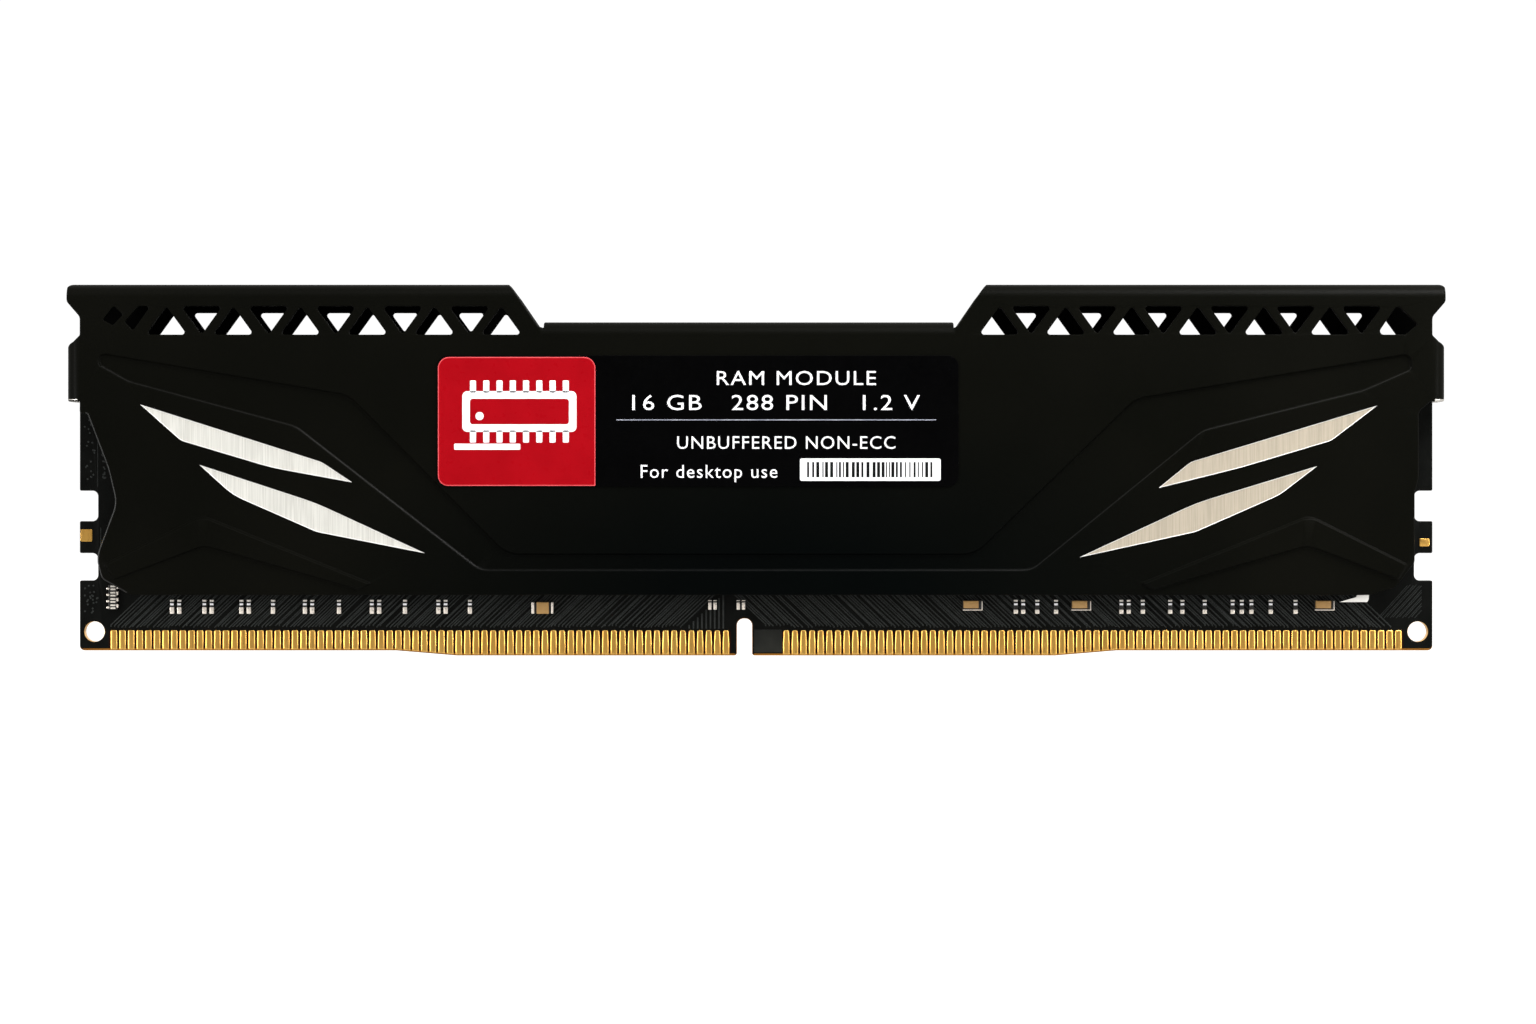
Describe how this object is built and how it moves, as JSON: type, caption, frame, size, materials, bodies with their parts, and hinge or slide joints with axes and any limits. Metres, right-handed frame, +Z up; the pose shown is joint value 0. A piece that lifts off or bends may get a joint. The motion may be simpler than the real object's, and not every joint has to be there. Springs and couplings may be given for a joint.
{
  "type": "memory module",
  "caption": "Desktop computer memory module: edge-connector circuit board with gold contacts between two folded black aluminium heat spreaders with a truss-vented top rim.",
  "frame": {"origin": "middle of the board's contact edge, on the board's centre plane: x = 0 is half way along the board, y = 0 is the middle of the board's thickness, z = 0 is the lowest contact edge", "axes": "+X along the board to the right when the label is read, +Y from the labelled front to the rear, +Z up, away from the contact edge"},
  "size_m": [0.1352, 0.0068, 0.0365],
  "materials": {
    "solder_mask": "black solder mask over glass-fibre laminate",
    "gold_plating": "polished gold plating",
    "anodised_aluminium": "black anodised, fine satin grain, with bare machined accent stripes",
    "mould_compound": "matt black epoxy",
    "thermal_pad": "soft grey-blue silicone",
    "label_film": "glossy black film with a red block and white print",
    "ceramic_parts": "glazed ceramic with tinned ends",
    "paper": "matt white paper"
  },
  "bodies": {
    "root": {"circuit_board": "solder_mask", "front_heat_spreader": "anodised_aluminium", "front_thermal_pad": "thermal_pad", "front_memory_chip_1": "mould_compound", "front_memory_chip_2": "mould_compound", "front_memory_chip_3": "mould_compound", "front_memory_chip_4": "mould_compound", "front_memory_chip_5": "mould_compound", "front_memory_chip_6": "mould_compound", "front_memory_chip_7": "mould_compound", "front_memory_chip_8": "mould_compound", "front_contacts_left": "gold_plating", "front_contacts_right": "gold_plating", "rear_heat_spreader": "anodised_aluminium", "rear_thermal_pad": "thermal_pad", "rear_memory_chip_1": "mould_compound", "rear_memory_chip_2": "mould_compound", "rear_memory_chip_3": "mould_compound", "rear_memory_chip_4": "mould_compound", "rear_memory_chip_5": "mould_compound", "rear_memory_chip_6": "mould_compound", "rear_memory_chip_7": "mould_compound", "rear_memory_chip_8": "mould_compound", "rear_contacts_left": "gold_plating", "rear_contacts_right": "gold_plating", "configuration_memory": "mould_compound", "resistor_pair_1": "ceramic_parts", "resistor_pair_2": "ceramic_parts", "resistor_pair_3": "ceramic_parts", "resistor_pair_4": "ceramic_parts", "resistor_pair_5": "ceramic_parts", "resistor_pair_6": "ceramic_parts", "resistor_pair_7": "ceramic_parts", "resistor_pair_8": "ceramic_parts", "resistor_pair_9": "ceramic_parts", "resistor_pair_10": "ceramic_parts", "chip_resistor_1": "ceramic_parts", "chip_resistor_2": "ceramic_parts", "chip_resistor_3": "ceramic_parts", "chip_resistor_4": "ceramic_parts", "chip_resistor_5": "ceramic_parts", "chip_resistor_6": "ceramic_parts", "chip_resistor_7": "ceramic_parts", "chip_resistor_8": "ceramic_parts", "chip_resistor_9": "ceramic_parts", "chip_resistor_10": "ceramic_parts", "chip_resistor_11": "ceramic_parts", "chip_resistor_12": "ceramic_parts", "chip_resistor_13": "ceramic_parts", "chip_resistor_14": "ceramic_parts", "chip_resistor_15": "ceramic_parts", "bypass_capacitor_1": "ceramic_parts", "bypass_capacitor_2": "ceramic_parts", "bypass_capacitor_3": "ceramic_parts", "bypass_capacitor_4": "ceramic_parts", "resistor_array": "ceramic_parts", "inspection_tag": "paper", "label": "label_film"}
  },
  "joints": []
}
